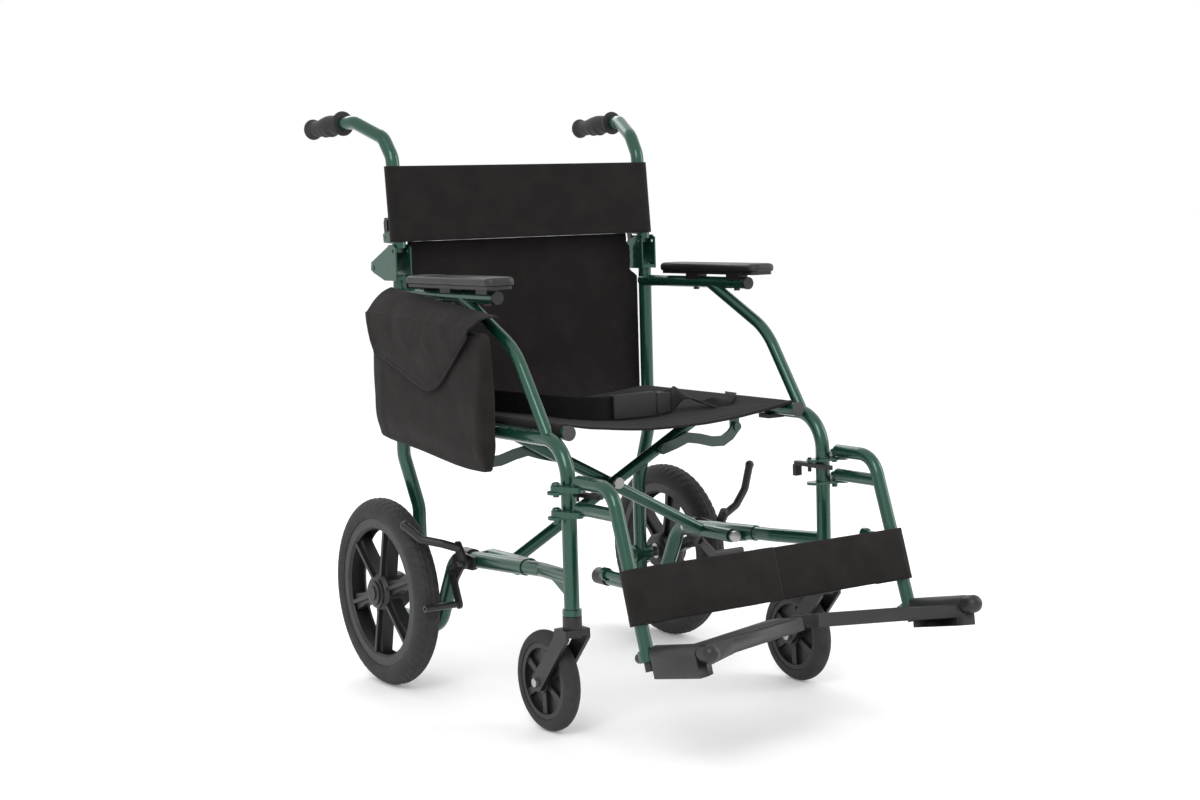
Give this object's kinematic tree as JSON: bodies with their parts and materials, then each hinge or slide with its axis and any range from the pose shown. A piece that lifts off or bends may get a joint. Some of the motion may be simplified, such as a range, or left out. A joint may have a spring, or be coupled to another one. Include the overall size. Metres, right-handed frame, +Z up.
{
  "type": "manual wheelchair",
  "caption": "Folding transit wheelchair: tubular side frames on a cross brace, sling seat, fold-down back, swing-away legrests, casters and rear wheels with parking brakes.",
  "frame": {"origin": "on the floor, under the centre of the whole chair's box", "axes": "+X to the rider's left, +Y to the rear, +Z up"},
  "size_m": [0.622, 1.0532, 0.9324],
  "materials": {
    "frame_paint": "metallic dark green gloss",
    "link_paint": "satin dark green",
    "black_plastic": "satin black",
    "grey_plastic": "matt dark grey",
    "pad_vinyl": "satin moulded skin",
    "wheel_plastic": "satin black",
    "tyre": "matt dark grey rubber",
    "grip_rubber": "satin black rubber",
    "zinc_steel": "zinc plated",
    "black_steel": "black coated",
    "footplate_plastic": "matt grey-black",
    "black_fabric": "matt black woven nylon",
    "seat_fabric": "matt black coated nylon",
    "webbing": "black webbing"
  },
  "bodies": {
    "right_side": {"right_side_frame": "frame_paint", "right_frame_caps": "black_plastic", "right_arm_pad_tray": "black_plastic", "right_arm_pad": "pad_vinyl", "side_bag": "black_fabric", "right_axle_set": "zinc_steel", "right_pivot_rod": "zinc_steel", "right_brake_clamp": "black_steel", "back_lower_upholstery": "seat_fabric"},
    "left_side": {"left_side_frame": "frame_paint", "left_frame_caps": "black_plastic", "left_arm_pad_tray": "black_plastic", "left_arm_pad": "pad_vinyl", "left_axle_set": "zinc_steel", "left_pivot_rod": "zinc_steel", "left_brake_clamp": "black_steel"},
    "brace_a": {"cross_brace_a": "frame_paint", "seat_tube_caps_a": "grey_plastic", "centre_pivot_bolt": "zinc_steel"},
    "brace_b": {"cross_brace_b": "frame_paint", "seat_tube_caps_b": "grey_plastic"},
    "seat": {"seat_sling": "seat_fabric", "lap_belt": "webbing", "belt_buckle": "black_plastic"},
    "buckle_tongue": {"belt_buckle_tongue": "black_plastic"},
    "right_link": {"right_fold_link": "link_paint"},
    "right_wheel": {"right_rear_wheel": "wheel_plastic", "right_rear_tyre": "tyre"},
    "right_caster": {"right_caster_fork": "black_plastic", "right_caster_axle": "zinc_steel"},
    "right_caster_roller": {"right_caster_wheel": "wheel_plastic", "right_caster_tyre": "tyre"},
    "right_cane": {"right_back_cane": "frame_paint", "right_grip": "grip_rubber", "back_upper_upholstery": "seat_fabric"},
    "right_release": {"right_release_lever": "black_plastic"},
    "right_brake": {"right_brake_lever": "black_plastic"},
    "right_shoe": {"right_brake_shoe": "black_steel"},
    "right_legrest": {"right_legrest_hanger": "frame_paint", "right_footplate_tube": "black_plastic", "right_calf_strap": "black_fabric"},
    "right_foot": {"right_footplate": "footplate_plastic"},
    "right_latch": {"right_legrest_latch": "black_plastic"},
    "left_link": {"left_fold_link": "link_paint"},
    "left_wheel": {"left_rear_wheel": "wheel_plastic", "left_rear_tyre": "tyre"},
    "left_caster": {"left_caster_fork": "black_plastic", "left_caster_axle": "zinc_steel"},
    "left_caster_roller": {"left_caster_wheel": "wheel_plastic", "left_caster_tyre": "tyre"},
    "left_cane": {"left_back_cane": "frame_paint", "left_grip": "grip_rubber"},
    "left_release": {"left_release_lever": "black_plastic"},
    "left_brake": {"left_brake_lever": "black_plastic"},
    "left_shoe": {"left_brake_shoe": "black_steel"},
    "left_legrest": {"left_legrest_hanger": "frame_paint", "left_footplate_tube": "black_plastic", "left_calf_strap": "black_fabric"},
    "left_foot": {"left_footplate": "footplate_plastic"},
    "left_latch": {"left_legrest_latch": "black_plastic"}
  },
  "joints": [
    {"name": "fold", "type": "hinge", "parent": "right_side", "child": "brace_a", "pos_m": [-0.1925, 0.042, 0.225], "axis": [0, -1, 0], "range_deg": [0, 42], "deforming": ["seat_sling", "lap_belt", "back_lower_upholstery", "back_upper_upholstery", "right_calf_strap", "left_calf_strap"]},
    {"name": "brace_cross", "type": "hinge", "parent": "brace_a", "child": "brace_b", "pos_m": [0, 0.054, 0.32735], "axis": [0, -1, 0], "range_deg": [-84, 0]},
    {"name": "left_side_pivot", "type": "hinge", "parent": "brace_b", "child": "left_side", "pos_m": [0.1925, 0.042, 0.225], "axis": [0, -1, 0], "range_deg": [0, 42]},
    {"name": "seat_level", "type": "hinge", "parent": "brace_a", "child": "seat", "pos_m": [0, 0.054, 0.32735], "axis": [0, -1, 0], "range_deg": [-42, 0]},
    {"name": "buckle_release", "type": "slide", "parent": "seat", "child": "buckle_tongue", "axis": [1, 0, 0], "range_m": [0, 0.04]},
    {"name": "right_link_pivot", "type": "hinge", "parent": "right_side", "child": "right_link", "pos_m": [-0.237, 0.079, 0.3972], "axis": [0, -1, 0], "range_deg": [0, 64.01]},
    {"name": "right_wheel_spin", "type": "hinge", "parent": "right_side", "child": "right_wheel", "pos_m": [-0.282, 0.291, 0.1525], "axis": [1, 0, 0], "continuous": true},
    {"name": "right_caster_swivel", "type": "hinge", "parent": "right_side", "child": "right_caster", "pos_m": [-0.2367, -0.19, 0.185], "axis": [0, 0, 1], "continuous": true},
    {"name": "right_caster_spin", "type": "hinge", "parent": "right_caster", "child": "right_caster_roller", "pos_m": [-0.2367, -0.1213, 0.075], "axis": [1, 0, 0], "continuous": true},
    {"name": "right_cane_fold", "type": "hinge", "parent": "right_side", "child": "right_cane", "pos_m": [-0.24, 0.347, 0.675], "axis": [-1, 0, 0], "range_deg": [0, 120]},
    {"name": "right_release_press", "type": "hinge", "parent": "right_cane", "child": "right_release", "pos_m": [-0.24, 0.316, 0.724], "axis": [-1, 0, 0], "range_deg": [0, 12], "stiffness_Nm_per_rad": 0.5},
    {"name": "right_brake_lever_swing", "type": "hinge", "parent": "right_side", "child": "right_brake", "pos_m": [-0.25, 0.096, 0.221], "axis": [1, 0, 0], "range_deg": [-5.6, 68.4]},
    {"name": "right_shoe_swing", "type": "hinge", "parent": "right_side", "child": "right_shoe", "pos_m": [-0.242, 0.1464, 0.1952], "axis": [1, 0, 0], "range_deg": [-39.82, 3.28]},
    {"name": "right_legrest_swing", "type": "hinge", "parent": "right_side", "child": "right_legrest", "pos_m": [-0.259, -0.192, 0.34], "axis": [0, 0, 1], "range_deg": [-90, 0]},
    {"name": "right_footplate_flip", "type": "hinge", "parent": "right_legrest", "child": "right_foot", "pos_m": [-0.236, -0.442, 0.1703], "axis": [0, 0.9816, -0.1908], "range_deg": [-95, 0]},
    {"name": "right_latch_swing", "type": "hinge", "parent": "right_side", "child": "right_latch", "pos_m": [-0.2167, -0.182, 0.35], "axis": [0, 0, 1], "range_deg": [0, 25]},
    {"name": "left_link_pivot", "type": "hinge", "parent": "left_side", "child": "left_link", "pos_m": [0.237, 0.028, 0.3972], "axis": [0, 1, 0], "range_deg": [0, 64.01]},
    {"name": "left_wheel_spin", "type": "hinge", "parent": "left_side", "child": "left_wheel", "pos_m": [0.282, 0.291, 0.1525], "axis": [1, 0, 0], "continuous": true},
    {"name": "left_caster_swivel", "type": "hinge", "parent": "left_side", "child": "left_caster", "pos_m": [0.2367, -0.19, 0.185], "axis": [0, 0, 1], "continuous": true},
    {"name": "left_caster_spin", "type": "hinge", "parent": "left_caster", "child": "left_caster_roller", "pos_m": [0.2367, -0.1213, 0.075], "axis": [1, 0, 0], "continuous": true},
    {"name": "left_cane_fold", "type": "hinge", "parent": "left_side", "child": "left_cane", "pos_m": [0.24, 0.347, 0.675], "axis": [-1, 0, 0], "range_deg": [0, 120]},
    {"name": "left_release_press", "type": "hinge", "parent": "left_cane", "child": "left_release", "pos_m": [0.24, 0.316, 0.724], "axis": [-1, 0, 0], "range_deg": [0, 12], "stiffness_Nm_per_rad": 0.5},
    {"name": "left_brake_lever_swing", "type": "hinge", "parent": "left_side", "child": "left_brake", "pos_m": [0.25, 0.096, 0.221], "axis": [1, 0, 0], "range_deg": [-74, 0]},
    {"name": "left_shoe_swing", "type": "hinge", "parent": "left_side", "child": "left_shoe", "pos_m": [0.242, 0.1464, 0.1952], "axis": [1, 0, 0], "range_deg": [-0.02, 43.08]},
    {"name": "left_legrest_swing", "type": "hinge", "parent": "left_side", "child": "left_legrest", "pos_m": [0.259, -0.192, 0.34], "axis": [0, 0, 1], "range_deg": [0, 90]},
    {"name": "left_footplate_flip", "type": "hinge", "parent": "left_legrest", "child": "left_foot", "pos_m": [0.236, -0.442, 0.1703], "axis": [0, 0.9816, -0.1908], "range_deg": [0, 95]},
    {"name": "left_latch_swing", "type": "hinge", "parent": "left_side", "child": "left_latch", "pos_m": [0.2167, -0.182, 0.35], "axis": [0, 0, 1], "range_deg": [-25, 0]}
  ],
  "couplings": [
    {"joint": "brace_cross", "follows": "fold", "ratio": -2},
    {"joint": "left_side_pivot", "follows": "fold", "ratio": 1},
    {"joint": "seat_level", "follows": "fold", "ratio": -1},
    {"joint": "right_link_pivot", "follows": "fold", "ratio": 1.5238},
    {"joint": "right_shoe_swing", "follows": "right_brake_lever_swing", "ratio": -0.58187},
    {"joint": "right_footplate_flip", "follows": "fold", "ratio": -2.2619},
    {"joint": "left_link_pivot", "follows": "fold", "ratio": 1.5238},
    {"joint": "left_shoe_swing", "follows": "left_brake_lever_swing", "ratio": -0.58187},
    {"joint": "left_footplate_flip", "follows": "fold", "ratio": 2.2619},
    {"joint": "left_cane_fold", "follows": "right_cane_fold", "ratio": 1}
  ]
}
